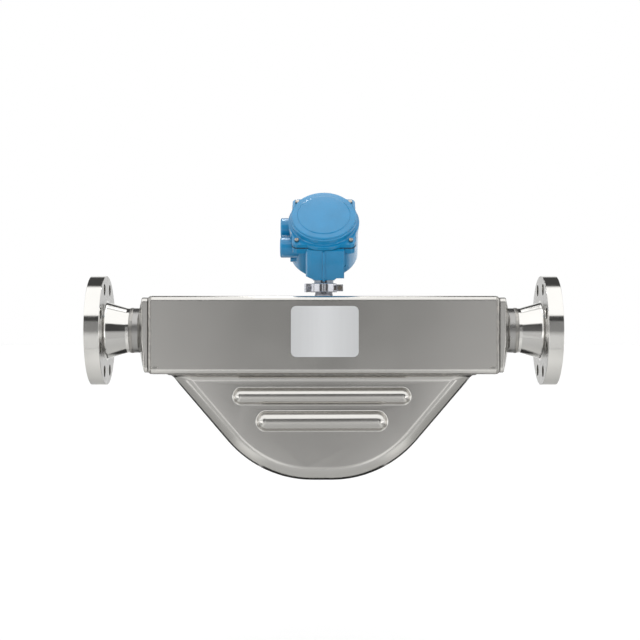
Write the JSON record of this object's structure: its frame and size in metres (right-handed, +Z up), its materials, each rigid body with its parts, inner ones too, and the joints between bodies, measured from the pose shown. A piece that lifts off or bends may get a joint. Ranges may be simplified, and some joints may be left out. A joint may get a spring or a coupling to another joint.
{
  "type": "coriolis flow meter",
  "caption": "Flanged Coriolis mass flow meter: folded case over a drawn D-shaped pan with pressed ribs, and a tilted blue electronics housing clamped on a short neck.",
  "frame": {"origin": "centre of the inlet flange's raised face, on the pipe axis", "axes": "+X along the pipe axis with the flow, from inlet to outlet; -Y is the side with the label plate; +Z up, towards the electronics housing"},
  "size_m": [0.896, 0.21, 0.5529],
  "materials": {
    "case_stainless": "satin, bead blasted",
    "machined_stainless": "bright, machined and polished",
    "weld_bead": "rippled, slightly heat tinted",
    "blue_paint": "gloss powder coat over cast metal",
    "clamp_stainless": "cast and tumbled, bright",
    "label_silver": "satin silver",
    "black_rubber": "matt",
    "tube_stainless": "drawn, bright",
    "copper_winding": "wound enamelled copper",
    "magnet_plating": "nickel plated",
    "brass_fitting": "turned",
    "potting_black": "potting compound",
    "terminal_green": "moulded",
    "screw_steel": "stainless, turned"
  },
  "bodies": {
    "meter": {"inlet_flange": "machined_stainless", "outlet_flange": "machined_stainless", "inlet_butt_weld": "weld_bead", "outlet_butt_weld": "weld_bead", "inlet_manifold": "case_stainless", "outlet_manifold": "case_stainless", "inlet_cap_weld": "weld_bead", "outlet_cap_weld": "weld_bead", "upper_case": "case_stainless", "inlet_end_cap": "case_stainless", "outlet_end_cap": "case_stainless", "inlet_case_weld": "weld_bead", "outlet_case_weld": "weld_bead", "front_pan": "case_stainless", "rear_pan": "case_stainless", "pan_seam_weld": "weld_bead", "pan_mouth_weld": "weld_bead", "corner_weld_dabs": "weld_bead", "label_plate": "label_silver", "front_flow_tube": "tube_stainless", "rear_flow_tube": "tube_stainless", "inlet_outer_brace": "case_stainless", "inlet_inner_brace": "case_stainless", "outlet_outer_brace": "case_stainless", "outlet_inner_brace": "case_stainless", "drive_coil": "copper_winding", "drive_magnet": "magnet_plating", "drive_coil_bracket": "case_stainless", "drive_magnet_bracket": "case_stainless", "inlet_pickoff_coil": "copper_winding", "inlet_pickoff_magnet": "magnet_plating", "inlet_coil_bracket": "case_stainless", "inlet_magnet_bracket": "case_stainless", "outlet_pickoff_coil": "copper_winding", "outlet_pickoff_magnet": "magnet_plating", "outlet_coil_bracket": "case_stainless", "outlet_magnet_bracket": "case_stainless", "temperature_sensor": "brass_fitting", "neck_stem": "case_stainless", "feedthrough": "brass_fitting", "neck_o_ring": "black_rubber", "clamp_front": "clamp_stainless", "clamp_rear": "clamp_stainless", "clamp_screw": "screw_steel", "clamp_hinge_pin": "screw_steel"},
    "housing": {"housing_ferrule": "case_stainless", "electronics_housing": "blue_paint", "conduit_hubs": "blue_paint", "lid_gasket": "black_rubber", "core_module": "potting_black", "module_screws": "screw_steel", "terminal_block": "terminal_green", "terminal_screws": "screw_steel", "ground_screws": "screw_steel"},
    "lid": {"housing_lid": "blue_paint", "lid_screws": "screw_steel"}
  },
  "joints": [
    {"name": "housing_swivel", "type": "hinge", "parent": "meter", "child": "housing", "pos_m": [0.448, 0, 0.082], "axis": [0, 0, 1], "range_deg": [-180, 180]},
    {"name": "lid_lift", "type": "slide", "parent": "housing", "child": "lid", "axis": [0, -0.766, 0.6428], "range_m": [0, 0.12]}
  ]
}
